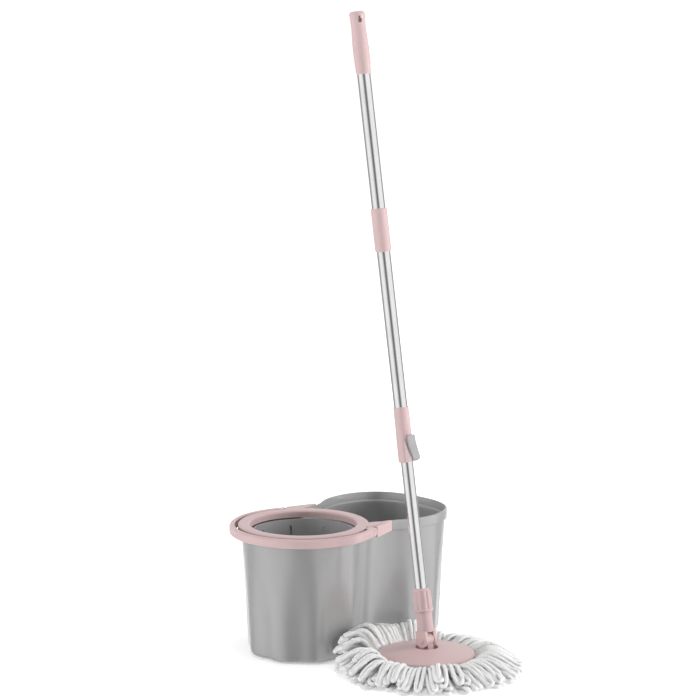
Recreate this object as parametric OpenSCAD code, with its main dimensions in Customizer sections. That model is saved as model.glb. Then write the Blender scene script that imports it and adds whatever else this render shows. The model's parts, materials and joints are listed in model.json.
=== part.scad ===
// Spin mop: a two-ended bucket with a spin basket, and a press-to-spin mop beside it.
// Origin on the floor under the middle of the bucket. +X runs from the basket end to
// the water end, +Z is up, and the mop stands on the -Y side.

/* [Bucket] */
// Height of the bucket at its rim
bucket_h = 219; // [216:1:221]
// Distance between the centres of the bucket's two round ends
end_gap = 196; // [195:1:197]
// Radius of the outer wall at the rim, basket end
basket_end_r = 105; // [104:0.5:106]
// Radius of the outer wall at the rim, water end
water_end_r = 108.8; // [108:0.2:109.6]
// Radius of the hollow curve that joins the two ends
waist_r = 90; // [89.5:0.5:90.5]
// How far the tip of the water end is flattened in from its round
end_blunt = 17; // [16:0.5:18]
// How far the wall leans in between the rim and the base
wall_lean_in = 12; // [10:0.5:13]
// Wall thickness
wall_t = 2.5; // [2:0.1:3]
// Depth of the soft upright waves in the wall, at the base
wave_depth = 1.2; // [0:0.1:1.5]

/* [Collar and handle] */
// Radius of the hole in the splash collar
collar_hole_r = 89.3; // [89:0.1:90]
// Outer radius of the splash collar
collar_r = 110; // [109.6:0.1:110.5]
// Inner radius of the carry handle's bow
bow_inner_r = 115.7; // [115.2:0.1:116.5]
// Outer radius of the carry handle's bow
bow_outer_r = 124.8; // [123:0.1:126]
// Height of the bow's section
bow_h = 15; // [13:0.5:16]

/* [Basket] */
// Radius of the basket's rim
basket_rim_r = 88.2; // [87.5:0.1:88.5]
// Radius of the basket's floor
basket_floor_r = 74; // [70:0.5:76]
// Height of the basket's floor above the ground
basket_floor_z = 90; // [88:1:92]
// Number of tall drain slots
slot_count = 9; // [6:1:10]

/* [Mop head] */
// Place of the mop head along the bucket's length
mop_x = -50; // [-52:1:-48]
// Distance of the mop head from the bucket's middle line
mop_y = 239; // [238:1:250]
// Radius of the head plate
plate_r = 80; // [76:0.5:81]
// Height of the pivot pin above the floor
pivot_z = 55; // [54.5:0.5:56]
// Reach of the strings from the centre of the head
string_reach = 146; // [135:1:147]

/* [Pole] */
// Lean of the pole towards the bucket, degrees
pole_lean = 8.9; // [0:0.1:15]
// Distance from the pivot pin to the top of the grip
pole_len = 1043; // [1040:1:1050]
// Outer radius of the lower tube
lower_tube_r = 10.2; // [10.1:0.05:10.2]
// Outer radius of the middle and upper tubes
upper_tube_r = 11.3; // [11.25:0.05:11.4]
// Wall thickness of the tubes
tube_t = 0.6; // [0.5:0.05:0.6]
// Length of the drive rod for one full turn of its twist
rod_lead = 90; // [80:1:100]
// Turn of the hanging hole away from the front, degrees
hole_turn = -29; // [-45:1:45]

/* [Hidden] */

$fn = 96;
pink = "#cf9fa2";
grey = "#8f9192";
steel = "#c9ccd0";

// Bucket: the plan is two arcs joined by two hollow curves, with the water end's tip
// flattened. Every ring of the wall is the same plan moved in towards its centres.
basket_x = -end_gap / 2;
water_x = end_gap / 2;
reach_a = basket_end_r + waist_r;
reach_b = water_end_r + waist_r;
hollow_x = (end_gap * end_gap + reach_a * reach_a - reach_b * reach_b) / (2 * end_gap) + basket_x;
hollow_y = sqrt(reach_a * reach_a - pow(hollow_x - basket_x, 2));
touch_a = atan2(hollow_y, hollow_x - basket_x);
touch_b = atan2(hollow_y, hollow_x - water_x);
arc_steps_b = 54;
arc_steps_a = 48;
hollow_steps = 9;
waves_per_turn = 9;
wave_fade = 14;
rim_lip = 3;
rim_band_h = 17;
base_round = 12;
floor_t = 3;

function on_arc(cx, cy, r, a) = [cx + r * cos(a), cy + r * sin(a)];

// Height of the waves, which fade out over the last degrees before an arc's end
function wave(a, depth, to_end) = depth * cos(waves_per_turn * a) * min(1, to_end / wave_fade);

function blunt(a) = end_blunt * pow(max(0, cos(a)), 4);

// One ring of the plan, moved in by t, with its waves depth high
function plan(t, depth = 0) = concat(
    [for (i = [0:arc_steps_b]) let (a = -touch_b + 2 * touch_b * i / arc_steps_b)
        on_arc(water_x, 0, water_end_r - t - blunt(a) + wave(a, depth, touch_b - abs(a)), a)],
    [for (i = [1:hollow_steps]) let (a = touch_b + 180 - (touch_b - touch_a) * i / (hollow_steps + 1))
        on_arc(hollow_x, hollow_y, waist_r + t, a)],
    [for (i = [0:arc_steps_a]) let (a = touch_a + (360 - 2 * touch_a) * i / arc_steps_a)
        on_arc(basket_x, 0, basket_end_r - t + wave(a, depth, min(a, 360 - a) - touch_a), a)],
    [for (i = [1:hollow_steps]) let (a = 180 - touch_a - (touch_b - touch_a) * i / (hollow_steps + 1))
        on_arc(hollow_x, -hollow_y, waist_r + t, a)]
);

function lean_at(z) = wall_lean_in * (bucket_h - z) / bucket_h;

function wave_at(z) = wave_depth * max(0, min(1, (bucket_h - rim_band_h - 10 - z) / 120));

// Rings of the shell as [height, inset, wave depth], up the outside and down the inside
outer_rings = concat(
    [for (a = [0:22.5:90]) [base_round * (1 - cos(a)), lean_at(base_round) + base_round * (1 - sin(a)),
        wave_at(0)]],
    [for (z = [70, 110, 150]) [z, lean_at(z), wave_at(z)]],
    [[bucket_h - rim_band_h, lean_at(bucket_h - rim_band_h), 0],
     [bucket_h - rim_band_h + 1, -rim_lip, 0],
     [bucket_h - 1.2, -rim_lip, 0],
     [bucket_h, -rim_lip + 1.2, 0]]
);
inner_rings = concat(
    [[bucket_h, 0.4, 0], [bucket_h - 14, 0.4, 0]],
    [for (z = [bucket_h - 15, 150, 110, 70]) [z, lean_at(z) + wall_t, wave_at(z)]],
    [for (a = [90:-30:0]) [floor_t + 9 * (1 - cos(a)), lean_at(floor_t + 9) + wall_t + 9 * (1 - sin(a)),
        wave_at(0)]]
);
shell_rings = concat(outer_rings, inner_rings);

// A closed solid through rings that all have the same number of points
module ring_solid(rings) {
    n = len(rings[0]);
    last = len(rings) - 1;
    points = [for (ring = rings) each ring];
    sides = [for (i = [0:last - 1], k = [0:n - 1]) let (m = (k + 1) % n, a = i * n, b = a + n)
        each [[a + k, b + k, b + m], [a + k, b + m, a + m]]];
    foot = [for (k = [0:n - 1]) k];
    roof = [for (k = [n - 1:-1:0]) last * n + k];
    polyhedron(points, concat([foot], sides, [roof]), convexity = 8);
}

module bucket_shell() {
    color(grey)
        ring_solid([for (r = shell_rings) [for (p = plan(r[1], r[2])) [p[0], p[1], r[0]]]]);
}

// Splash collar: a ring over the basket end, a skirt outside the rim, a shorter skirt
// inside the water end, and a pad at each side of the waist for the handle's pivot.
collar_top = bucket_h + 3;
collar_seat = bucket_h + 0.2;
skirt_t = 1.6;
flange_r = 114.8;
pivot_x = -40;
pivot_h = bucket_h - 6.5;
pad_face_y = 100;
lug_gap_x = pivot_x + 9.8;

module over_basket() {
    translate([basket_x, 0, 0]) children();
}

module both_sides() {
    children();
    mirror([0, 1, 0]) children();
}

module collar_ring() {
    rotate_extrude()
        polygon([
            [collar_hole_r + 0.6, bucket_h - 9], [collar_hole_r, bucket_h - 2],
            [collar_hole_r + 0.2, bucket_h + 0.5], [collar_hole_r + 1.2, bucket_h + 2],
            [collar_hole_r + 3, collar_top - 0.2], [collar_hole_r + 5, collar_top],
            [collar_r - 5, collar_top], [collar_r - 2.5, collar_top - 0.4],
            [collar_r - 0.7, collar_top - 1.2], [collar_r, collar_top - 2.2],
            [collar_r, collar_seat], [collar_hole_r + 3, collar_seat],
            [collar_hole_r + 2.2, bucket_h - 9]
        ]);
}

module collar_skirt(from, sweep, depth) {
    rotate_extrude(angle = sweep, start = from)
        translate([collar_r - skirt_t, bucket_h - depth])
            square([skirt_t, depth + 1]);
}

// The skirt outside the rim, with a lip along its foot under the handle's bow
module flanged_skirt() {
    rotate_extrude(angle = 224, start = 68)
        polygon([
            [collar_r - skirt_t, bucket_h - 15], [flange_r, bucket_h - 15], [flange_r, bucket_h - 13.6],
            [collar_r, bucket_h - 13.6], [collar_r, bucket_h + 1], [collar_r - skirt_t, bucket_h + 1]
        ]);
}

module waist_web() {
    translate([0, 0, collar_seat + 0.1])
        linear_extrude(2.2)
            polygon([[-44, 88], [-44, 98], [-20, 97], [-6, 92], [2, 87], [-7, 80.8], [-26, 73]]);
}

// The pad follows the outside of the rim and carries the bow's line on past the lug
module pivot_pad() {
    inner = [for (i = [0:12]) on_arc(hollow_x, hollow_y, waist_r - rim_lip - 0.3, 287 - 43 * i / 12)];
    translate([0, 0, bucket_h - 16])
        linear_extrude(17.4)
            polygon(concat(inner, [[-49.5, 97.3], [-49.5, pad_face_y], [lug_gap_x, pad_face_y],
                [lug_gap_x, 107.6], [-26, 107], [-12, 102.6], [5, 97.2], [17, 93.4], [21.6, 91.4]]));
}

module splash_collar() {
    color(pink) {
        over_basket() {
            collar_ring();
            flanged_skirt();
            collar_skirt(-44, 88, 13.5);
        }
        both_sides()
            difference() {
                union() {
                    waist_web();
                    pivot_pad();
                }
                translate([pivot_x, 0, pivot_h]) rotate([-90, 0, 0]) cylinder(r = 3, h = 130);
            }
    }
}

// Spindle: a moulded post on the bucket floor, with a steel pin that the basket turns on
post_top = 77.8;
pin_r = 4;

module spindle_post() {
    color(grey)
        over_basket()
            difference() {
                rotate_extrude()
                    polygon([[0, floor_t], [26, floor_t], [26, floor_t + 3], [18, floor_t + 6],
                        [9.5, post_top], [0, post_top]]);
                translate([0, 0, 20]) cylinder(r = pin_r, h = 100);
            }
}

module spindle_pin() {
    color(steel)
        over_basket()
            rotate_extrude()
                polygon([[0, 20], [pin_r, 20], [pin_r, 104.6], [3.2, 104.6], [3.2, 105.8],
                    [pin_r, 105.8], [pin_r, 107.5], [3, 108.5], [0, 108.5]]);
}

module flat_ring(inner_r, outer_r, z0, z1) {
    translate([0, 0, z0])
        difference() {
            cylinder(r = outer_r, h = z1 - z0);
            translate([0, 0, -1]) cylinder(r = inner_r, h = z1 - z0 + 2);
        }
}

module thrust_washer() {
    color("white") over_basket() flat_ring(pin_r + 0.1, 9, post_top, 79.8);
}

module spindle_clip() {
    color(steel) over_basket() flat_ring(3.2, 6.6, 104.7, 105.7);
}

module handle_pins() {
    color(pink)
        both_sides()
            translate([pivot_x, 0, pivot_h])
                rotate([-90, 0, 0]) {
                    translate([0, 0, 94]) cylinder(r = 3, h = 15.7);
                    translate([0, 0, 109.4]) cylinder(r1 = 4.6, r2 = 3.8, h = 1.2);
                }
}

// Basket: a cup with a hub, slots down its wall and small drain holes between them
basket_top_z = bucket_h - 10.5;
cup_t = 2.2;
hub_r = 14;
bush_r = 7;
hub_z = 80;
hub_top_z = 104;
cup_wall_r = basket_rim_r - 2.4;
drain_rows = [130, 142, 154, 166];
drains_per_panel = 5;

function cup_r(z) = basket_floor_r + (cup_wall_r - basket_floor_r) * (z - basket_floor_z)
    / (basket_top_z - basket_floor_z);

module cup_body() {
    rotate_extrude()
        polygon([
            [bush_r, hub_z], [hub_r, hub_z], [hub_r + 2, basket_floor_z],
            [basket_floor_r - 6, basket_floor_z], [basket_floor_r - 2, basket_floor_z + 1.5],
            [cup_r(basket_floor_z + 6), basket_floor_z + 6], [cup_wall_r, basket_top_z - 2.5],
            [basket_rim_r, basket_top_z - 2.5], [basket_rim_r, basket_top_z - 0.6],
            [basket_rim_r - 0.6, basket_top_z], [cup_wall_r - cup_t, basket_top_z],
            [cup_r(basket_floor_z + 8) - cup_t, basket_floor_z + 8],
            [basket_floor_r - 7, basket_floor_z + 2.5], [hub_r, basket_floor_z + 2.5],
            [hub_r - 1, hub_top_z], [bush_r, hub_top_z]
        ]);
}

module cup_slots() {
    for (i = [0:slot_count - 1])
        rotate([0, 0, 20 + i * 360 / slot_count])
            translate([basket_floor_r - 8, -1.7, 118])
                cube([30, 3.4, basket_top_z - 129]);
}

module cup_drains() {
    for (i = [0:slot_count - 1], k = [1:drains_per_panel], z = drain_rows)
        rotate([0, 90, 20 + (i + k / (drains_per_panel + 1)) * 360 / slot_count])
            translate([-z, 0, basket_floor_r - 8])
                cylinder(r = 1.9, h = 30, $fn = 16);
}

module floor_drains() {
    for (i = [0:11])
        rotate([0, 0, i * 30])
            translate([34, -2, basket_floor_z - 2])
                cube([28, 4, 8]);
}

module basket_cup() {
    color(grey)
        over_basket()
            difference() {
                cup_body();
                cup_slots();
                cup_drains();
                floor_drains();
            }
}

module basket_bush() {
    color("goldenrod") over_basket() flat_ring(pin_r + 0.05, bush_r, hub_z, hub_top_z);
}

// Drive boss: the ribbed cone over the hub that the mop head seats on
boss_foot_z = basket_floor_z + 2.5;
boss_top_z = 120;

module drive_boss() {
    color(grey)
        over_basket() {
            rotate_extrude()
                polygon([[hub_r + 1, boss_foot_z], [28, boss_foot_z], [28, boss_foot_z + 2.5],
                    [20, boss_foot_z + 5], [15, boss_top_z - 2], [13, boss_top_z], [0, boss_top_z],
                    [0, boss_top_z - 2.5], [12, boss_top_z - 2.5], [hub_r + 1, 110]]);
            for (i = [0:7])
                rotate([0, 0, i * 45])
                    translate([15.5, -1.2, boss_foot_z + 1])
                        cube([10, 2.4, 14]);
        }
}

// Carry handle: a bow round the collar with a flat lug at each end
bow_top = bucket_h + 2;
bow_end_angle = 65.5;
lug_y0 = pad_face_y + 0.5;
lug_y1 = 109;

module bow() {
    rotate_extrude(angle = 360 - 2 * bow_end_angle, start = bow_end_angle)
        polygon([
            [bow_inner_r + 1, bow_top - bow_h], [bow_outer_r - 2, bow_top - bow_h],
            [bow_outer_r - 0.5, bow_top - bow_h + 1], [bow_outer_r, bow_top - bow_h + 3],
            [bow_outer_r, bow_top - 4], [bow_outer_r - 1, bow_top - 1.5],
            [bow_outer_r - 3, bow_top], [bow_inner_r + 1.5, bow_top],
            [bow_inner_r, bow_top - 1.5], [bow_inner_r, bow_top - bow_h + 1]
        ]);
}

module lug() {
    rotate([-90, 0, 0])
        translate([pivot_x, -pivot_h, lug_y0])
            difference() {
                linear_extrude(lug_y1 - lug_y0)
                    polygon([[-13, 6.5], [-13, -8.5], [2.5, -8.5], [6.5, -6], [8, -2], [8, 2],
                        [6.2, 5], [3, 6.5]]);
                translate([0, 0, -1]) cylinder(r = 3.05, h = 12);
            }
}

module carry_handle() {
    color(pink) {
        over_basket() bow();
        both_sides() lug();
    }
}

// Mop head: knuckle, plate, ring and strings about one upright axis
module over_mop() {
    translate([mop_x, -mop_y, 0]) children();
}

recess_r = 18.7;
recess_floor = 33.5;
eye_r = 11.3;
eye_half = 6.3;
stem_r = 7;
pivot_r = 4;

function dome(r) = 33 + 10 * (1 - pow(r / plate_r, 2));

module swivel_knuckle() {
    color(pink)
        over_mop()
            difference() {
                union() {
                    translate([-eye_half, 0, pivot_z]) rotate([0, 90, 0]) cylinder(r = eye_r, h = 2 * eye_half);
                    translate([-eye_half, -9.5, recess_floor + 2]) cube([2 * eye_half, 19, 18]);
                    translate([0, 0, recess_floor + 2.5]) cylinder(r1 = 15, r2 = 11, h = 4);
                    translate([0, 0, recess_floor]) cylinder(r = 15, h = 2.6);
                    translate([0, 0, 25]) cylinder(r = stem_r, h = 12);
                }
                translate([-20, 0, pivot_z]) rotate([0, 90, 0]) cylinder(r = pivot_r + 0.05, h = 40);
                flat_ring(stem_r - 1, stem_r + 2, 28.8, 30.4);
            }
}

module stem_clip() {
    color(steel) over_mop() flat_ring(stem_r - 1, 12, 28.9, 30.3);
}

module plate_cover() {
    color(pink)
        over_mop()
            rotate_extrude()
                polygon(concat(
                    [[stem_r, 30.4], [stem_r, recess_floor], [recess_r, recess_floor], [recess_r, dome(22) - 0.6],
                        [recess_r + 0.8, dome(22)]],
                    [for (r = [28:8:76]) [r, dome(r)]],
                    [[plate_r - 2, 33], [plate_r - 0.6, 31.8], [plate_r, 30], [plate_r, 24.5],
                        [plate_r - 2.2, 24.5], [plate_r - 2.4, 29.5], [plate_r - 4, 31]],
                    [for (r = [72:-8:32]) [r, dome(r) - 3]],
                    [[recess_r + 3, dome(22) - 4], [recess_r + 2.4, 30.4]]
                ));
}

module refill_ring() {
    color(pink)
        over_mop()
            rotate_extrude()
                polygon([[52, 24.6], [75, 24.6], [76, 25.5], [76, 27.5], [64, 28], [64, 32.5], [61.5, 33],
                    [61.5, 28], [52, 27]]);
}

module string_band() {
    color("white") over_mop() flat_ring(54, 75, 22.4, 24.4);
}

module mop_strings() {
    color("whitesmoke")
        over_mop()
            rotate_extrude()
                polygon([[14, 0], [string_reach - 3, 0], [string_reach, 4], [string_reach, 14],
                    [string_reach - 4, 20], [126, 31], [108, 38], [92, 38.5], [83, 33], [82.2, 22], [14, 22]]);
}

// Pole: everything below is built upright on the pivot pin and then leaned
module on_pole() {
    translate([mop_x, -mop_y, pivot_z]) rotate([-pole_lean, 0, 0]) children();
}

socket_r = 13.4;
ear_r = 12.4;
socket_top = 47;
spigot_top = 78;
tube_foot = 22;
nut_foot = 47.8;
nut_top = 86;
nut_lobes = 12;

module yoke_socket() {
    color(pink)
        on_pole()
            difference() {
                union() {
                    for (side = [-1, 1])
                        translate([side > 0 ? eye_half + 0.3 : -socket_r, 0, 0]) {
                            rotate([0, 90, 0]) cylinder(r = ear_r, h = socket_r - eye_half - 0.3);
                            translate([0, -ear_r + 2, 0]) cube([socket_r - eye_half - 0.3, 2 * ear_r - 4, 15]);
                        }
                    translate([0, 0, 13]) cylinder(r = socket_r, h = socket_top - 13);
                    translate([0, 0, socket_top - 3]) cylinder(r1 = socket_r, r2 = socket_r + 1, h = 3);
                    translate([0, 0, socket_top - 1]) cylinder(r = 12.2, h = spigot_top - socket_top + 1);
                }
                translate([0, 0, tube_foot]) cylinder(r = lower_tube_r, h = 80);
                translate([-20, 0, 0]) rotate([0, 90, 0]) cylinder(r = pivot_r, h = 40);
            }
}

module pivot_pin() {
    color(steel)
        on_pole()
            rotate([0, 90, 0]) {
                translate([0, 0, -socket_r]) cylinder(r = pivot_r, h = 2 * socket_r);
                for (side = [0, 1])
                    mirror([0, 0, side])
                        translate([0, 0, socket_r]) cylinder(r1 = 6.5, r2 = 5.5, h = 1.2);
            }
}

module tube_collet() {
    color("white")
        on_pole()
            difference() {
                flat_ring(lower_tube_r, 12.2, spigot_top, 83.5);
                translate([0, -1, spigot_top - 1]) cube([20, 2, 8]);
            }
}

module collar_nut() {
    color(pink)
        on_pole()
            difference() {
                union() {
                    rotate_extrude()
                        polygon([[0, nut_foot], [16.2, nut_foot], [16.2, nut_foot + 2.5], [14.6, nut_foot + 4],
                            [14, nut_top - 5], [12.4, nut_top - 1], [11.4, nut_top], [0, nut_top]]);
                    for (i = [0:nut_lobes - 1])
                        rotate([0, 0, i * 360 / nut_lobes])
                            translate([12.2, 0, nut_foot + 3])
                                cylinder(r1 = 3.8, r2 = 3.2, h = nut_top - nut_foot - 7.5, $fn = 32);
                }
                translate([0, 0, nut_foot - 1]) cylinder(r = 12.2, h = 36.7);
                translate([0, 0, nut_foot]) cylinder(r = lower_tube_r + 0.15, h = 60);
            }
}

// Telescoping tubes
lower_top = 412;
middle_foot = 338;
joint_mid = 681;
upper_top = 1006;

module tube(outer_r, z0, z1) {
    flat_ring(outer_r - tube_t, outer_r, z0, z1);
}

module lower_tube() {
    color(steel) on_pole() tube(lower_tube_r, tube_foot, lower_top);
}

module middle_tube() {
    color(steel) on_pole() tube(upper_tube_r, middle_foot, joint_mid);
}

module upper_tube() {
    color(steel) on_pole() tube(upper_tube_r, joint_mid + 3, upper_top);
}

// Spin drive inside the tubes: a twisted rod runs through a nut that a ratchet ring holds
housing_bore = 6.6;
lower_bore = lower_tube_r - tube_t;
clutch_teeth = 8;
nut_foot_s = 400.4;
nut_mid = 408.5;

module nut_housing() {
    color("white")
        on_pole()
            difference() {
                union() {
                    translate([0, 0, lower_top - 20]) cylinder(r = lower_bore, h = 20);
                    translate([0, 0, lower_top]) cylinder(r = lower_tube_r, h = 2);
                    translate([0, 0, lower_top + 1]) cylinder(r = 8, h = 9);
                }
                translate([0, 0, lower_top - 21]) cylinder(r = housing_bore, h = 20.2);
                translate([0, 0, lower_top - 2]) cylinder(r = 5.2, h = 13);
            }
}

module clutch_ring() {
    color("orange")
        on_pole() {
            flat_ring(5.4, housing_bore, nut_foot_s - 4.4, nut_foot_s - 0.4);
            for (i = [0:clutch_teeth - 1])
                rotate([0, 0, i * 360 / clutch_teeth])
                    translate([5.5, -0.5, nut_foot_s - 1]) cube([0.9, 1, 2.2]);
        }
}

module drive_nut() {
    color("ivory")
        on_pole()
            translate([0, 0, nut_foot_s])
                difference() {
                    cylinder(r = housing_bore - 0.15, h = nut_mid + 2.5 - nut_foot_s);
                    translate([0, 0, -1]) cylinder(r = 4.6, h = nut_mid - 1.5 - nut_foot_s);
                    translate([-4.7, -2.1, -1]) cube([9.4, 4.2, 16]);
                    for (i = [0:clutch_teeth - 1])
                        rotate([0, 0, i * 360 / clutch_teeth])
                            translate([5.1, -0.8, -1]) cube([3, 1.6, 3.4]);
                }
}

module housing_cap() {
    color("white") on_pole() flat_ring(5.2, 10, lower_top + 10, lower_top + 12.5);
}

module guide_ring() {
    color("ivory") on_pole() flat_ring(8.08, 10.62, lower_top + 2.2, lower_top + 9.8);
}

rod_foot = 386;
rod_head = 636;
rod_w = 8;
rod_t = 2;
rod_steps = 60;

// The rod is a flat strip whose section turns once in each rod_lead
module twist_rod() {
    corners = [[-rod_w / 2, -rod_t / 2], [rod_w / 2, -rod_t / 2], [rod_w / 2, rod_t / 2], [-rod_w / 2, rod_t / 2]];
    length = rod_head - rod_foot;
    color(steel)
        on_pole()
            ring_solid([for (i = [0:rod_steps])
                let (z = rod_foot + length * i / rod_steps, a = 360 * (z - nut_mid) / rod_lead)
                [for (c = corners) [c[0] * cos(a) - c[1] * sin(a), c[0] * sin(a) + c[1] * cos(a), z]]]);
}

module rod_stop() {
    color(steel) on_pole() translate([0, 0, rod_foot - 3]) cylinder(r = 5.2, h = 3);
}

module rod_anchor() {
    color("ivory")
        on_pole()
            difference() {
                translate([0, 0, rod_head - 8]) cylinder(r = upper_tube_r - tube_t, h = 12);
                translate([0, 0, rod_head - 9]) cylinder(r = 4.6, h = 9);
            }
}

module coupler_insert() {
    color("ivory")
        on_pole()
            difference() {
                union() {
                    translate([0, 0, rod_head + 4]) cylinder(r = upper_tube_r - tube_t, h = 86);
                    translate([0, 0, joint_mid]) cylinder(r = upper_tube_r, h = 3);
                }
                translate([0, 0, rod_head + 3]) cylinder(r = 7, h = 88);
            }
}

module coupler_sleeve() {
    color(pink)
        on_pole()
            rotate_extrude()
                polygon([[upper_tube_r, 647], [12.6, 647], [13.3, 648], [13.5, 651], [13.5, 714],
                    [13.3, 717.5], [12.6, 718.5], [upper_tube_r, 718.5]]);
}

// Lock sleeve: two cheeks on its front hold the cam lever that grips the lower tube
sleeve_foot = 297.5;
sleeve_top = 389;
lever_s = 304.6;
lever_out = 15.5;
lever_half = 8;
cheek_r = 5.6;

module sleeve_cheek() {
    rotate([90, 0, 90])
        translate([0, 0, lever_half + 0.3])
            linear_extrude(2.7)
                union() {
                    translate([-lever_out, lever_s]) circle(cheek_r);
                    polygon([[-9, sleeve_foot], [-lever_out, lever_s - cheek_r],
                        [-lever_out - cheek_r + 1, lever_s + 2], [-lever_out + 1, lever_s + 16],
                        [-9, lever_s + 34]]);
                }
}

module lock_sleeve() {
    color(pink)
        on_pole()
            difference() {
                union() {
                    rotate_extrude()
                        polygon([[0, sleeve_foot], [12.6, sleeve_foot], [13.6, sleeve_foot + 1.5],
                            [13.6, 330], [13, 352], [12.7, sleeve_top - 1], [12.2, sleeve_top], [0, sleeve_top]]);
                    sleeve_cheek();
                    mirror([1, 0, 0]) sleeve_cheek();
                }
                translate([0, 0, sleeve_foot - 1]) cylinder(r = lower_tube_r + 0.5, h = 100);
                translate([0, 0, 320]) cylinder(r = 12, h = 18);
                translate([0, 0, 338]) cylinder(r = upper_tube_r, h = 60);
                translate([-lever_half - 0.3, -30, sleeve_foot - 1]) cube([2 * lever_half + 0.6, 30, 14]);
                translate([-20, -lever_out, lever_s]) rotate([0, 90, 0]) cylinder(r = 1.8, h = 40);
            }
}

module sleeve_bush() {
    color("ivory") on_pole() flat_ring(lower_tube_r + 0.06, 12, 320, 338);
}

module lever_pin() {
    color(steel)
        on_pole()
            translate([-11, -lever_out, lever_s]) rotate([0, 90, 0]) cylinder(r = 1.8, h = 22);
}

module lock_lever() {
    color("#8b9190")
        on_pole()
            rotate([90, 0, 90])
                translate([0, 0, -lever_half])
                    difference() {
                        union() {
                            translate([-lever_out, lever_s, 0]) cylinder(r = 4.7, h = 2 * lever_half);
                            linear_extrude(2 * lever_half)
                                polygon([[-14.1, lever_s], [-lever_out, 301.8], [-23.6, 301.8],
                                    [-24, 303.5], [-23.4, 309], [-21, 318], [-18.4, 327], [-17.6, 334],
                                    [-17.4, 340], [-16.8, 341.6], [-15.2, 342], [-14.1, 341]]);
                        }
                        translate([-lever_out, lever_s, -1]) cylinder(r = 1.85, h = 20);
                    }
}

// Grip: a barrel that flares at its top, with a hanging hole through the flare
hole_s = pole_len - 15;
hole_r = 4;

module hand_grip() {
    color(pink)
        on_pole()
            rotate([0, 0, hole_turn])
                difference() {
                    rotate_extrude()
                        polygon([[0, 940], [11.9, 940], [12.4, 942], [13.2, 955], [13.6, 970], [13.5, 985],
                            [12.8, 1004], [12.2, 1018], [13.2, 1037], [12.8, pole_len - 3.5],
                            [11, pole_len - 1.2], [7, pole_len], [0, pole_len]]);
                    translate([0, 0, 939]) cylinder(r = upper_tube_r, h = upper_top - 939);
                    translate([0, 30, hole_s]) rotate([90, 0, 0]) cylinder(r = hole_r, h = 60);
                    translate([-1.6, -30, hole_s]) cube([3.2, 60, 7]);
                }
}

bucket_shell();
splash_collar();
spindle_post();
spindle_pin();
thrust_washer();
spindle_clip();
handle_pins();
basket_cup();
basket_bush();
drive_boss();
carry_handle();
swivel_knuckle();
stem_clip();
plate_cover();
refill_ring();
string_band();
mop_strings();
yoke_socket();
pivot_pin();
tube_collet();
collar_nut();
lower_tube();
nut_housing();
clutch_ring();
drive_nut();
housing_cap();
guide_ring();
rod_stop();
twist_rod();
rod_anchor();
sleeve_bush();
lock_sleeve();
lever_pin();
lock_lever();
middle_tube();
coupler_insert();
coupler_sleeve();
upper_tube();
hand_grip();
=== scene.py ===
"""Looks of the spin mop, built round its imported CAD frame.

Lengths are metres and +Z is up. The bucket's skin and the strings are worked out in millimetres
and scaled by MM as their points are handed over.
"""

import json
import math
import random

import bpy
import numpy as np
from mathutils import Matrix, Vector, kdtree, noise


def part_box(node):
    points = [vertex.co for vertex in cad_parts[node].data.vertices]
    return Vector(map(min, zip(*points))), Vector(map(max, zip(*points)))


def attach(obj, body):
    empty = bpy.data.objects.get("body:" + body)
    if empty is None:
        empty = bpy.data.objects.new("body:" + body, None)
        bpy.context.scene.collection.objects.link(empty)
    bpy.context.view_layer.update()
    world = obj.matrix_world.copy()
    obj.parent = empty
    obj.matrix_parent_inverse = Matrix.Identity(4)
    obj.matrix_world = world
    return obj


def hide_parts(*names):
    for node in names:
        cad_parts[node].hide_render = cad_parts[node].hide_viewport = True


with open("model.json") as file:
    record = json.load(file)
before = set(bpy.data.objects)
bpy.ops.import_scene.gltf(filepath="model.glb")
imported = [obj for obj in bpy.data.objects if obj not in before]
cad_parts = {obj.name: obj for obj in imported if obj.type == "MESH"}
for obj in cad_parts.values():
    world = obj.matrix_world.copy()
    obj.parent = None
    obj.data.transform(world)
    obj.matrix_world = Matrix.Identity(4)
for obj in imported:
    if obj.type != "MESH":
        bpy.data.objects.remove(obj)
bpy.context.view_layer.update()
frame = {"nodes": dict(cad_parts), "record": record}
NODES = frame["nodes"]
MM = 0.001


def share_of(value):
    """The value held between 0 and 1."""
    return max(0.0, min(1.0, value))


def ease(k, size=1.0):
    """A smooth step from 0 to size as k goes from 0 to 1."""
    return size * k * k * (3 - 2 * k)


# ---------------------------------------------------------------- shader nodes


def principled(name):
    m = bpy.data.materials.new(name)
    m.use_nodes = True
    t = m.node_tree
    return m, t, t.nodes["Principled BSDF"]


def coords(t, scale=(1, 1, 1), rotation=(0, 0, 0)):
    c = t.nodes.new("ShaderNodeTexCoord")
    m = t.nodes.new("ShaderNodeMapping")
    m.inputs["Scale"].default_value = scale
    m.inputs["Rotation"].default_value = rotation
    t.links.new(c.outputs["Object"], m.inputs["Vector"])
    return m.outputs["Vector"]


def noise_tex(t, vector, scale, detail=4.0, rough=0.55):
    n = t.nodes.new("ShaderNodeTexNoise")
    n.inputs["Scale"].default_value = scale
    n.inputs["Detail"].default_value = detail
    n.inputs["Roughness"].default_value = rough
    t.links.new(vector, n.inputs["Vector"])
    return n.outputs["Fac"]


def remap(t, value, low, high, to_low, to_high):
    n = t.nodes.new("ShaderNodeMapRange")
    n.inputs["From Min"].default_value = low
    n.inputs["From Max"].default_value = high
    n.inputs["To Min"].default_value = to_low
    n.inputs["To Max"].default_value = to_high
    t.links.new(value, n.inputs["Value"])
    return n.outputs["Result"]


def maths(t, operation, a, b):
    n = t.nodes.new("ShaderNodeMath")
    n.operation = operation
    t.links.new(a, n.inputs[0])
    t.links.new(b, n.inputs[1])
    return n.outputs[0]


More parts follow.
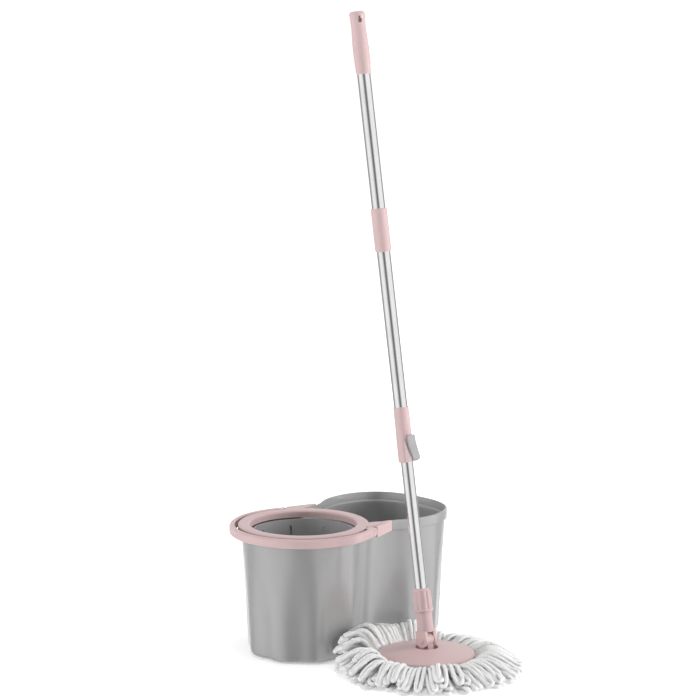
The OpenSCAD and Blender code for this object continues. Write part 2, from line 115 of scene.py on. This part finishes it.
def mix_colour(t, factor, a, b):
    """Mixes two colours. Each is a fixed RGBA or a node's output."""
    n = t.nodes.new("ShaderNodeMix")
    n.data_type = "RGBA"  # its colours are sockets 6 and 7, and output 2
    t.links.new(factor, n.inputs["Factor"])
    for socket, value in ((n.inputs[6], a), (n.inputs[7], b)):
        if isinstance(value, tuple):
            socket.default_value = value
        else:
            t.links.new(value, socket)
    return n.outputs[2]


def mix_shader(t, factor, first, second):
    n = t.nodes.new("ShaderNodeMixShader")
    for socket, source in zip(n.inputs, (factor, first, second)):
        t.links.new(source, socket)
    return n.outputs[0]


def white_background(t, strength):
    n = t.nodes.new("ShaderNodeBackground")
    n.inputs["Color"].default_value = (1, 1, 1, 1)
    n.inputs["Strength"].default_value = strength
    return n


def bump(t, height, strength, distance, before=None):
    """The normal of a bump, laid over the normal of an earlier one if that is given."""
    n = t.nodes.new("ShaderNodeBump")
    n.inputs["Strength"].default_value = strength
    n.inputs["Distance"].default_value = distance
    t.links.new(height, n.inputs["Height"])
    if before is not None:
        t.links.new(before, n.inputs["Normal"])
    return n.outputs[0]


def tint(rgb, k):
    return tuple(min(1.0, c * k) for c in rgb) + (1,)


# ---------------------------------------------------------------- camera, world, lamps and floor

# Bearings: azimuth 0 is the front (-Y) and 90 is +X
AZIMUTH, ELEVATION = math.radians(-46.014), math.radians(10.823)
DISTANCE, LENS = 6.446, 197.0
AIM = Vector((-0.00276, -0.01689, 0.50672))

# What glossy rays see round the object: share of a turn, brightness. Share 0 is -X, 0.25 is -Y
# and 0.5 is +X. The camera stands at about 0.122.
GLOSS_BANDS = [
    (0.000, 0.95),
    (0.030, 0.95),
    (0.068, 0.55),
    (0.100, 0.14),
    (0.150, 0.14),
    (0.180, 0.60),
    (0.210, 1.00),
    (0.280, 1.50),
    (0.395, 1.50),
    (0.435, 0.25),
    (0.500, 0.18),
    (0.540, 0.75),
    (0.660, 1.00),
    (0.750, 0.40),
    (0.810, 0.22),
    (0.850, 0.60),
    (0.920, 1.30),
]
FILL_LIGHT = 0.43

LAMP_TARGET = Vector((0, -0.1, 0.3))
LAMPS = [
    # name, azimuth, elevation, distance, size, power
    ("top_box", -46, 82, 3.2, 2.6, 50),
    ("right_box", 42, 12, 3.4, 1.3, 92),
    ("left_box", -128, 12, 3.4, 1.3, 50),
]

FLOOR_RADIUS, FLOOR_SIDES, FLOOR_Z = 30, 48, -0.0006
# The floor's own glow rises from the middle of the scene outwards: distances, then strengths
GLOW_FROM, GLOW_TO, GLOW_INNER, GLOW_OUTER = 0.3, 1.8, 0.34, 0.72


def direction(azimuth, elevation):
    """Unit vector from the object towards a bearing in radians."""
    return Vector(
        (
            math.sin(azimuth) * math.cos(elevation),
            -math.cos(azimuth) * math.cos(elevation),
            math.sin(elevation),
        )
    )


def add_camera():
    data = bpy.data.cameras.new("photo_camera")
    data.lens, data.sensor_width, data.sensor_fit = LENS, 36.0, "HORIZONTAL"
    data.clip_start, data.clip_end = 0.1, 60.0
    cam = bpy.data.objects.new("photo_camera", data)
    bpy.context.scene.collection.objects.link(cam)
    towards = direction(AZIMUTH, ELEVATION)
    cam.location = AIM + towards * DISTANCE
    cam.rotation_euler = towards.to_track_quat("Z", "Y").to_euler()
    bpy.context.scene.camera = cam


def studio_world():
    """Even white light for what the camera and matt surfaces see. Glossy rays see soft boxes with
    dark gaps between them, which is what gives the chromed tubes their bands."""
    world = bpy.data.worlds.new("studio")
    bpy.context.scene.world = world
    world.use_nodes = True
    t = world.node_tree
    t.nodes.clear()
    out = t.nodes.new("ShaderNodeOutputWorld")
    coord = t.nodes.new("ShaderNodeTexCoord")
    split = t.nodes.new("ShaderNodeSeparateXYZ")
    t.links.new(coord.outputs["Generated"], split.inputs[0])
    turn = maths(t, "ARCTAN2", split.outputs["Y"], split.outputs["X"])
    bands = t.nodes.new("ShaderNodeValToRGB")
    bands.color_ramp.interpolation = "B_SPLINE"
    ramp = bands.color_ramp.elements
    while len(ramp) > 1:
        ramp.remove(ramp[-1])
    for i, (place, value) in enumerate(GLOSS_BANDS):
        stop = ramp.new(place) if i else ramp[0]
        stop.color = (value, value, value, 1)
    t.links.new(remap(t, turn, -math.pi, math.pi, 0, 1), bands.inputs[0])
    gloss, fill, white = (white_background(t, s) for s in (1.0, FILL_LIGHT, 1.0))
    t.links.new(bands.outputs[0], gloss.inputs["Color"])
    ray = t.nodes.new("ShaderNodeLightPath").outputs
    unseen = mix_shader(t, ray["Is Glossy Ray"], fill.outputs[0], gloss.outputs[0])
    seen = mix_shader(t, ray["Is Camera Ray"], unseen, white.outputs[0])
    t.links.new(seen, out.inputs["Surface"])


def area_lamp(name, azimuth, elevation, distance, size, power):
    """A square soft box at a bearing in degrees, aimed at the object."""
    data = bpy.data.lights.new(name, "AREA")
    data.shape, data.size, data.energy = "SQUARE", size, power
    lamp = bpy.data.objects.new(name, data)
    bpy.context.scene.collection.objects.link(lamp)
    towards = direction(math.radians(azimuth), math.radians(elevation))
    lamp.location = LAMP_TARGET + towards * distance
    lamp.rotation_euler = towards.to_track_quat("Z", "Y").to_euler()
    lamp.visible_glossy = False
    lamp.visible_camera = False


def add_floor():
    verts = [(0, 0, FLOOR_Z)]
    for i in range(FLOOR_SIDES):
        a = 2 * math.pi * i / FLOOR_SIDES
        verts.append((FLOOR_RADIUS * math.cos(a), FLOOR_RADIUS * math.sin(a), FLOOR_Z))
    faces = [(0, 1 + i, 1 + (i + 1) % FLOOR_SIDES) for i in range(FLOOR_SIDES)]
    mesh = bpy.data.meshes.new("floor")
    mesh.from_pydata(verts, [], faces)
    floor = bpy.data.objects.new("floor", mesh)
    bpy.context.scene.collection.objects.link(floor)
    m, t, shader = principled("floor_paper")
    shader.inputs["Base Color"].default_value = (0.93, 0.93, 0.93, 1)
    shader.inputs["Roughness"].default_value = 0.9
    shader.inputs["Specular IOR Level"].default_value = 0.1
    shader.inputs["Emission Color"].default_value = (1.0, 1.0, 1.0, 1)
    away = t.nodes.new("ShaderNodeVectorMath")
    away.operation = "LENGTH"
    t.links.new(coords(t), away.inputs[0])
    glow = remap(t, away.outputs["Value"], GLOW_FROM, GLOW_TO, GLOW_INNER, GLOW_OUTER)
    t.links.new(glow, shader.inputs["Emission Strength"])
    mesh.materials.append(m)
    floor.visible_glossy = False


# ---------------------------------------------------------------- materials

PINK = (0.535, 0.388, 0.388)
GREY = (0.305, 0.305, 0.305)
LEVER_GREY = (0.29, 0.29, 0.30)
PALE = (0.72, 0.72, 0.70)
CHROME = (0.86, 0.86, 0.87)
STEEL = (0.62, 0.62, 0.63)
BRONZE = (0.62, 0.45, 0.24)
YARN_WHITE = (0.885, 0.885, 0.885)
YARN_SHADE = (0.85, 0.845, 0.835, 1)
POLE_TILT = math.radians(8.9)


def moulded_plastic(name, rgb, roughness, specular=0.5, coat=0.0, fleck=0.0):
    """Injection-moulded plastic: slow colour drift, mould grain, hairline scuffs and pale edges."""
    m, t, shader = principled(name)
    here = coords(t)
    drift = noise_tex(t, coords(t, (1, 1, 0.35)), 60, 5, 0.65)
    grain = noise_tex(t, here, 900, 2)
    slow = remap(t, drift, 0.2, 0.8, 0, 1)
    colour = mix_colour(t, slow, tint(rgb, 0.97), tint(rgb, 1.03))
    scuffs = noise_tex(t, coords(t, (1, 1, 9), (0.5, 0.3, 0.9)), 130, 6, 0.7)
    worn = remap(t, scuffs, 0.68, 0.82, 0, 0.18)
    colour = mix_colour(t, worn, colour, tint(rgb, 1.16))
    geometry = t.nodes.new("ShaderNodeNewGeometry")
    edge = remap(t, geometry.outputs["Pointiness"], 0.52, 0.62, 0, 0.3)
    colour = mix_colour(t, edge, colour, tint(rgb, 1.18))
    if fleck:
        spark = remap(t, noise_tex(t, here, 2600, 1), 0.6, 0.75, 0, fleck)
        colour = mix_colour(t, spark, colour, tint(rgb, 1.45))
    t.links.new(colour, shader.inputs["Base Color"])
    rough = remap(t, drift, 0.3, 0.7, roughness - 0.015, roughness + 0.02)
    rough = maths(t, "ADD", rough, remap(t, scuffs, 0.62, 0.85, 0, 0.08))
    t.links.new(rough, shader.inputs["Roughness"])
    shader.inputs["Specular IOR Level"].default_value = specular
    if coat:
        shader.inputs["Coat Weight"].default_value = coat
        shader.inputs["Coat Roughness"].default_value = 0.12
    fine = bump(t, grain, 0.12, 0.00015)
    t.links.new(bump(t, scuffs, 0.10, 0.0002, fine), shader.inputs["Normal"])
    return m


def drawn_metal(name, rgb, roughness, axis_tilt=0.0):
    """Drawn and plated metal: fine streaks along the tube and faint handling marks."""
    m, t, shader = principled(name)
    along = coords(t, (1, 1, 0.012), (axis_tilt, 0, 0))
    streaks = noise_tex(t, along, 1500, 3, 0.6)
    smear = noise_tex(t, coords(t), 30, 4, 0.6)
    marks = remap(t, smear, 0.35, 0.7, 0, 1)
    colour = mix_colour(t, marks, tint(rgb, 1.0), tint(rgb, 0.93))
    t.links.new(colour, shader.inputs["Base Color"])
    shader.inputs["Metallic"].default_value = 1.0
    rough = remap(t, smear, 0.3, 0.75, roughness - 0.03, roughness + 0.07)
    rough = maths(t, "ADD", rough, remap(t, streaks, 0.3, 0.8, 0, 0.06))
    t.links.new(rough, shader.inputs["Roughness"])
    t.links.new(bump(t, streaks, 0.05, 0.0001), shader.inputs["Normal"])
    return m


def microfibre(name, rgb):
    """Soft white yarn: fine pile, small clumps and wide, slightly warmer patches."""
    m, t, shader = principled(name)
    here = coords(t)
    pile = noise_tex(t, here, 1700, 3, 0.7)
    clump = noise_tex(t, here, 260, 3, 0.6)
    patch = noise_tex(t, here, 22, 2)
    clumps = remap(t, clump, 0.35, 0.7, 0, 1)
    colour = mix_colour(t, clumps, tint(rgb, 0.93), tint(rgb, 1.0))
    colour = mix_colour(t, remap(t, patch, 0.4, 0.7, 0, 0.5), colour, YARN_SHADE)
    t.links.new(colour, shader.inputs["Base Color"])
    t.links.new(remap(t, pile, 0.3, 0.7, 0.85, 1.0), shader.inputs["Roughness"])
    shader.inputs["Specular IOR Level"].default_value = 0.15
    shader.inputs["Sheen Weight"].default_value = 0.35
    shader.inputs["Sheen Roughness"].default_value = 0.5
    fine = bump(t, pile, 0.8, 0.001)
    t.links.new(bump(t, clump, 0.7, 0.002, fine), shader.inputs["Normal"])
    return m


def build_materials():
    """One material for each material slot of the record."""
    return {
        "pink_plastic": moulded_plastic("pink_plastic", PINK, 0.33),
        "grey_plastic": moulded_plastic("grey_plastic", GREY, 0.19, 1.0, 0.9, 0.10),
        "lever_plastic": moulded_plastic("lever_plastic", LEVER_GREY, 0.4),
        "pale_plastic": moulded_plastic("pale_plastic", PALE, 0.38),
        "chrome_tube": drawn_metal("chrome_tube", CHROME, 0.13, POLE_TILT),
        "steel": drawn_metal("steel", STEEL, 0.3),
        "bronze": drawn_metal("bronze", BRONZE, 0.35),
        "microfibre": microfibre("microfibre", YARN_WHITE),
    }


def dress_nodes(materials):
    """Gives each CAD node the material of its slot in the record."""
    slots = {row["node"]: row["material_slot"] for row in frame["record"]["subparts"]}
    for name, obj in NODES.items():
        obj.data.materials.clear()
        obj.data.materials.append(materials[slots[name]])


# ---------------------------------------------------------------- mesh helpers


def new_object(name, verts, faces, material, sharp):
    """A smooth-shaded mesh object. Edges bent by more than sharp degrees stay sharp."""
    mesh = bpy.data.meshes.new(name)
    mesh.from_pydata([tuple(v) for v in verts], [], faces)
    mesh.validate()
    obj = bpy.data.objects.new(name, mesh)
    bpy.context.scene.collection.objects.link(obj)
    mesh.materials.append(material)
    mesh.polygons.foreach_set("use_smooth", [True] * len(mesh.polygons))
    mesh.set_sharp_from_angle(angle=math.radians(sharp))
    return obj


def skin_faces(rings, sides, base=0):
    """Faces that join a row of rings of points and cap both ends. The first point is at base."""
    faces = []
    for r in range(rings - 1):
        here, there = base + r * sides, base + (r + 1) * sides
        for k in range(sides):
            m = (k + 1) % sides
            faces.append((here + k, here + m, there + m, there + k))
    faces.append(tuple(base + k for k in reversed(range(sides))))
    faces.append(tuple(base + (rings - 1) * sides + k for k in range(sides)))
    return faces


# ---------------------------------------------------------------- bucket

# The plan has an arc at each end, A for the basket and B for the water, and a hollow on each side
RIM_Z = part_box("bucket_shell")[1].z / MM
END_GAP, END_A, END_B, WAIST, BLUNT = 196.0, 105.0, 108.8, 90.0, 17.0
A_X, B_X = -END_GAP / 2, END_GAP / 2
REACH_A, REACH_B = END_A + WAIST, END_B + WAIST
HOLLOW_X = (END_GAP**2 + REACH_A**2 - REACH_B**2) / (2 * END_GAP) + A_X
HOLLOW_Y = math.sqrt(REACH_A**2 - (HOLLOW_X - A_X) ** 2)
TOUCH_A = math.degrees(math.atan2(HOLLOW_Y, HOLLOW_X - A_X))
TOUCH_B = math.degrees(math.atan2(HOLLOW_Y, HOLLOW_X - B_X))
ARC_STEP, HOLLOW_STEPS = 1.5, 28

# LEAN is how far the foot stands in from the rim. The floor's edge is rounded by FOOT_R.
LEAN, WALL, FOOT_R, FLOOR_THICK = 12.0, 2.5, 12, 3
RIM_BAND = 17
# The soft waves round the ends fade out at an arc's end and below the rim band
WAVES, WAVE_DEPTH, WAVE_FADE = 9, 2.3, 16
WAVE_TOP, WAVE_RISE = 27, 120


def arc_point(cx, cy, r, degrees):
    a = math.radians(degrees)
    return cx + r * math.cos(a), cy + r * math.sin(a)


def wave(degrees, depth, to_end):
    """Height of the soft waves round an arc. They fade out before the arc's end."""
    height = depth * math.cos(math.radians(WAVES * degrees))
    return ease(share_of(to_end / WAVE_FADE), height)


def plan(inset, depth):
    """The bucket's plan moved in by inset, with waves that deep, as one closed ring of points."""
    points = []
    n = round(2 * TOUCH_B / ARC_STEP)
    for i in range(n + 1):
        a = -TOUCH_B + 2 * TOUCH_B * i / n
        r = END_B - inset + wave(a, depth, TOUCH_B - abs(a))
        r -= BLUNT * max(0.0, math.cos(math.radians(a))) ** 4
        points.append(arc_point(B_X, 0, r, a))
    for i in range(1, HOLLOW_STEPS):
        a = TOUCH_B + 180 - (TOUCH_B - TOUCH_A) * i / HOLLOW_STEPS
        points.append(arc_point(HOLLOW_X, HOLLOW_Y, WAIST + inset, a))
    n = round((360 - 2 * TOUCH_A) / ARC_STEP)
    for i in range(n + 1):
        a = TOUCH_A + (360 - 2 * TOUCH_A) * i / n
        r = END_A - inset + wave(a, depth, min(a, 360 - a) - TOUCH_A)
        points.append(arc_point(A_X, 0, r, a))
    for i in range(1, HOLLOW_STEPS):
        a = 180 - TOUCH_A - (TOUCH_B - TOUCH_A) * i / HOLLOW_STEPS
        points.append(arc_point(HOLLOW_X, -HOLLOW_Y, WAIST + inset, a))
    return points


def lean_at(z):
    """How far the wall stands in from the rim at that height."""
    return LEAN * (RIM_Z - z) / RIM_Z


def wave_at(z):
    """How deep the waves are at that height."""
    return WAVE_DEPTH * share_of((RIM_Z - WAVE_TOP - z) / WAVE_RISE)


def rounded_foot(z, lean, radius, angles):
    """Rings round the floor's edge. At 0 degrees a ring is on the floor, at 90 on the wall."""
    rings = []
    for angle in angles:
        a = math.radians(angle)
        rings.append(
            (z + radius * (1 - math.cos(a)), lean + radius * (1 - math.sin(a)), wave_at(0))
        )
    return rings


def bucket_skin(materials):
    """The shell as one skin: up the outside, over the rim and down the inside."""
    # Each ring is height, inset and depth of the waves
    rings = rounded_foot(0, lean_at(FOOT_R), FOOT_R, [90 * k / 8 for k in range(9)])
    rings += [(z, lean_at(z), wave_at(z)) for z in range(20, 201, 9)]
    foot = RIM_Z - RIM_BAND
    rings += [
        (foot - 0.6, lean_at(foot), 0),
        (foot, lean_at(foot) - 0.5, 0),
        (foot + 0.25, -2.2, 0),
        (foot + 0.6, -2.8, 0),
        (foot + 1.3, -3.0, 0),
        (RIM_Z - 8, -3.0, 0),
        (RIM_Z - 1.6, -3.0, 0),
        (RIM_Z - 0.8, -2.7, 0),
        (RIM_Z - 0.2, -2.0, 0),
        (RIM_Z, -1.2, 0),
        (RIM_Z, -0.3, 0),
        (RIM_Z - 0.25, 0.15, 0),
        (RIM_Z - 0.8, 0.4, 0),
        (RIM_Z - 13.2, 0.45, 0),
        (RIM_Z - 14.0, 0.7, 0),
        (RIM_Z - 14.7, lean_at(RIM_Z - 15) + WALL - 0.8, 0),
        (RIM_Z - 15.2, lean_at(RIM_Z - 15) + WALL - 0.2, 0),
        (RIM_Z - 16.2, lean_at(RIM_Z - 16) + WALL, 0),
    ]
    rings += [(z, lean_at(z) + WALL, wave_at(z)) for z in range(198, 11, -11)]
    rings += rounded_foot(
        FLOOR_THICK,
        lean_at(FOOT_R) + WALL,
        FOOT_R - FLOOR_THICK,
        [90 - 18 * k for k in range(6)],
    )
    verts = [(x * MM, y * MM, z * MM) for z, inset, depth in rings for x, y in plan(inset, depth)]
    faces = skin_faces(len(rings), len(verts) // len(rings))
    skin = new_object("bucket_skin", verts, faces, materials["grey_plastic"], sharp=50)
    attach(skin, "bucket")
    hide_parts("bucket_shell")


# ---------------------------------------------------------------- mop strings

MOP = Vector((-0.050, -0.239, 0.0))
STRAND_R = 3.5
LAYERS = [
    # name, loops, share of the pile against the bucket that it climbs, profile as (radius, height)
    (
        "strings_top",
        52,
        1.0,
        [(64, 19.5), (80, 20.5), (89, 29), (102, 35), (118, 32), (136, 20), (150, 8)],
    ),
    (
        "strings_mid",
        48,
        0.72,
        [(62, 13.5), (80, 14.0), (96, 20), (112, 22), (130, 15), (147, 6)],
    ),
    ("strings_low", 44, 0.35, [(60, 7.5), (84, 6.5), (110, 7), (134, 5), (153, 4.2)]),
]

# Bearings from the mop's axis: where the bucket stands, and where the strings lie out furthest,
# and how much further that is
BUCKET_BEARING, LONG_BEARING, LONGER = math.radians(104), math.radians(-40), 10
# Where the bucket's hollow side starts and ends along X
HOLLOW_FROM_X = A_X + END_A * math.cos(math.radians(TOUCH_A))
HOLLOW_TO_X = B_X + END_B * math.cos(math.radians(TOUCH_B))
# Strings stay under the head's plate inside PLATE_R, and nowhere lie further out than MAX_REACH
PLATE_R, PLATE_Z, MAX_REACH = 84, 24.5, 160
# Only points this far from the axis towards +Y can meet the bucket's wall
NEAR_WALL_Y = 60

# A loop's centre line: steps on each half, angles round its tip, and the tip's least length
HALF_STEPS, TIP_ANGLES, TIP_LENGTH = 22, (36, 72, 108, 144), 4.2

# Relaxing: rounds, share of a push that is made in one round, pull back to the first layout, and
# a resting strand's height over its radius
ROUNDS, QUICK_ROUNDS = 26, 8
PUSH_SHARE, HOME_PULL, RESTING = 0.6, 0.02, 0.93

# The yarn's surface: sides, step along it, and the shares of slow swelling, plies and fuzz
YARN_SIDES, YARN_STEP, FLOOR_CLEARANCE = 12, 2.0, 0.3
PLIES, SWELL, LOBES, FUZZ = 3, 0.14, 0.12, 0.36


def at_radius(profile, r):
    """Height of a layer at that radius."""
    for (r0, z0), (r1, z1) in zip(profile, profile[1:]):
        if r <= r1:
            return z0 + (z1 - z0) * ease((r - r0) / (r1 - r0))
    return profile[-1][1]


def wall_gap(x, y, z):
    """How far a point outside the bucket is from its wall, in mm, and the way out."""
    lean = lean_at(max(z, FOOT_R))
    if HOLLOW_FROM_X < x < HOLLOW_TO_X:
        dx, dy = x - HOLLOW_X, y + HOLLOW_Y
        d = math.hypot(dx, dy)
        return WAIST + lean - d, (-dx / d, -dy / d)
    cx, r = (A_X, END_A) if x < HOLLOW_X else (B_X, END_B)
    dx, dy = x - cx, y
    d = math.hypot(dx, dy)
    return d - (r - lean + WAVE_DEPTH), (dx / d, dy / d)


def loop_centre(rng, profile, climb, bearing, spread):
    """One loop of yarn: out from the ring, round its tip and back, in mm about the mop's axis."""
    longer = LONGER * max(0.0, math.cos(bearing - LONG_BEARING))
    reach = profile[-1][0] + rng.uniform(-15, 3) + longer
    start = profile[0][0]
    sway = rng.uniform(-0.13, 0.13)
    curl = rng.uniform(-0.05, 0.05)
    lift = rng.uniform(-2.5, 5.0)
    near_bucket = max(0.0, math.cos(bearing - BUCKET_BEARING) - 0.25) / 0.75
    pile = near_bucket**0.7 * climb * rng.uniform(20, 34)
    halves = []
    for side in (-1, 1):
        line = []
        for i in range(HALF_STEPS + 1):
            u = i / HALF_STEPS
            r = start + (reach - start) * u
            gap = STRAND_R * (1.02 - 0.1 * u)
            bow = sway * u * u
            wind = curl * math.sin(u * 3.1 + side * 0.5)
            half_width = gap / r + spread * (0.25 + 0.75 * u) * (1 - 0.55 * u * u)
            angle = bearing + bow + wind + side * half_width
            z = at_radius(profile, r)
            z += lift * math.sin(u * math.pi)
            z += ease(share_of((u - 0.18) / 0.42), pile)
            line.append([r * math.cos(angle), r * math.sin(angle), z])
        halves.append(line)
    tip_a, tip_b = np.array(halves[0][-1]), np.array(halves[1][-1])
    out = np.array([math.cos(bearing + sway), math.sin(bearing + sway), -0.15])
    mid = (tip_a + tip_b) / 2
    half = (tip_b - tip_a) / 2
    tip_length = max(TIP_LENGTH, np.linalg.norm(half))
    bend = [
        list(mid - half * math.cos(a) + out * math.sin(a) * tip_length)
        for a in map(math.radians, TIP_ANGLES)
    ]
    return halves[0] + bend + halves[1][::-1]


def push_apart(points, owner, place):
    """How far each point is pushed by the strands that it overlaps."""
    tree = kdtree.KDTree(len(points))
    for i, p in enumerate(points):
        tree.insert(p, i)
    tree.balance()
    push = np.zeros_like(points)
    hits = np.zeros(len(points))
    for i, p in enumerate(points):
        for _, j, d in tree.find_range(p, 2 * STRAND_R):
            if j <= i or (owner[i] == owner[j] and abs(place[i] - place[j]) < 4):
                continue
            away = points[i] - points[j]
            length = max(d, 1e-3)
            move = away / length * (2 * STRAND_R - length) * 0.5
            push[i] += move
            push[j] -= move
            hits[i] += 1
            hits[j] += 1
    return push / np.maximum(hits, 1)[:, None] ** 0.5


def relax(loops, rounds):
    """Pushes the loops apart until they lie on each other, on the floor and against the bucket."""
    points = np.array([p for loop in loops for p in loop])
    owner = np.array([i for i, loop in enumerate(loops) for _ in loop])
    place = np.array([k for loop in loops for k in range(len(loop))])
    count = len(loops[0])
    home = points.copy()
    fixed = (place < 2) | (place > count - 3)
    for _ in range(rounds):
        # Away from each other, then smoother, then a little back towards home
        push = push_apart(points, owner, place)
        push[fixed] = 0
        points += push * PUSH_SHARE
        grid = points.reshape(len(loops), count, 3)
        smooth = grid.copy()
        smooth[:, 1:-1] = grid[:, 1:-1] * 0.6 + (grid[:, :-2] + grid[:, 2:]) * 0.2
        points = smooth.reshape(-1, 3)
        points += (home - points) * HOME_PULL
        points[fixed] = home[fixed]
        # Out of the floor, the head's plate and the bucket's wall, and not too far out
        points[:, 2] = np.maximum(points[:, 2], STRAND_R * RESTING)
        radius = np.hypot(points[:, 0], points[:, 1])
        under = radius < PLATE_R
        points[under, 2] = np.minimum(points[under, 2], PLATE_Z - STRAND_R)
        far = radius > MAX_REACH
        points[far, :2] *= (MAX_REACH / radius[far])[:, None]
        for i in np.nonzero(points[:, 1] > NEAR_WALL_Y)[0]:
            x, y, z = points[i]
            gap, way = wall_gap(x + MOP.x / MM, y + MOP.y / MM, z)
            if gap < STRAND_R:
                points[i, 0] += way[0] * (STRAND_R - gap)
                points[i, 1] += way[1] * (STRAND_R - gap)
    return points.reshape(len(loops), count, 3)


def smooth_line(points, step):
    """The same line through a Catmull-Rom curve, with points that far apart, and their run."""
    p = np.vstack([2 * points[0] - points[1], points, 2 * points[-1] - points[-2]])
    fine = []
    for i in range(1, len(p) - 2):
        a, b, c, d = p[i - 1], p[i], p[i + 1], p[i + 2]
        for u in np.linspace(0, 1, 8, endpoint=False):
            bent = (2 * a - 5 * b + 4 * c - d) * u * u
            cubic = (3 * b - a - 3 * c + d) * u**3
            fine.append(0.5 * (2 * b + (c - a) * u + bent + cubic))
    fine.append(points[-1])
    fine = np.array(fine)
    run = np.concatenate([[0], np.cumsum(np.linalg.norm(np.diff(fine, axis=0), axis=1))])
    n = max(6, int(run[-1] / step))
    at = np.linspace(0, run[-1], n + 1)
    return np.stack([np.interp(at, run, fine[:, k]) for k in range(3)], 1), at


def yarn_tube(line, at, rng, verts, faces):
    """A plied yarn round a line: three lobes that wind along it, with a loose uneven surface."""
    tangent = np.gradient(line, axis=0)
    tangent /= np.linalg.norm(tangent, axis=1)[:, None]
    base = len(verts)
    pitch, phase = rng.uniform(11, 15), rng.uniform(0, 6.28)
    seed = Vector((rng.uniform(0, 90), rng.uniform(0, 90), rng.uniform(0, 90)))
    normal = np.cross(tangent[0], np.array([0, 0, 1.0]))
    normal /= np.linalg.norm(normal)
    for p, t, s in zip(line, tangent, at):
        normal = normal - t * (normal @ t)
        normal /= np.linalg.norm(normal)
        side = np.cross(t, normal)
        end = min(1.0, 0.55 + min(s, at[-1] - s) / 4)
        swell = 1 + SWELL * noise.noise(Vector((s * 0.09, seed.x, seed.y)))
        for k in range(YARN_SIDES):
            a = 2 * math.pi * k / YARN_SIDES
            lobe = 1 + LOBES * math.cos(PLIES * (a - 2 * math.pi * s / pitch) + phase)
            spot = Vector((s * 0.6, math.cos(a) * 2.2, math.sin(a) * 2.2))
            fuzz = 1 + FUZZ * noise.noise(spot + seed)
            r = STRAND_R * end * swell * lobe * fuzz
            v = p + (normal * math.cos(a) + side * math.sin(a)) * r
            v[2] = max(v[2], FLOOR_CLEARANCE)
            verts.append(v * MM)
    faces += skin_faces(len(line), YARN_SIDES, base)


def mop_strings(materials):
    """The three layers of loops, laid out, relaxed together and drawn as yarn."""
    rng = random.Random(11)
    loops, layer_of = [], []
    for layer, (_, count, climb, profile) in enumerate(LAYERS):
        offset = rng.uniform(0, 1)
        for i in range(count):
            bearing = 2 * math.pi * (i + offset + rng.uniform(-0.25, 0.25)) / count
            spread = rng.uniform(0.0, 0.022)
            loops.append(loop_centre(rng, profile, climb, bearing, spread))
            layer_of.append(layer)
    settled = relax(loops, ROUNDS)
    centre = np.array([MOP.x, MOP.y, MOP.z])
    for layer, (name, *_) in enumerate(LAYERS):
        verts, faces = [], []
        for loop, own in zip(settled, layer_of):
            if own == layer:
                line, at = smooth_line(loop, YARN_STEP)
                yarn_tube(line, at, rng, verts, faces)
        verts = [v + centre for v in verts]
        layer_obj = new_object(name, verts, faces, materials["microfibre"], sharp=180)
        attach(layer_obj, "mop_head")
        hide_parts("mop_strings")


# ---------------------------------------------------------------- the scene

add_camera()
studio_world()
for lamp in LAMPS:
    area_lamp(*lamp)
add_floor()
MATERIALS = build_materials()
dress_nodes(MATERIALS)
bucket_skin(MATERIALS)
mop_strings(MATERIALS)
bpy.context.scene.view_settings.view_transform = "Standard"
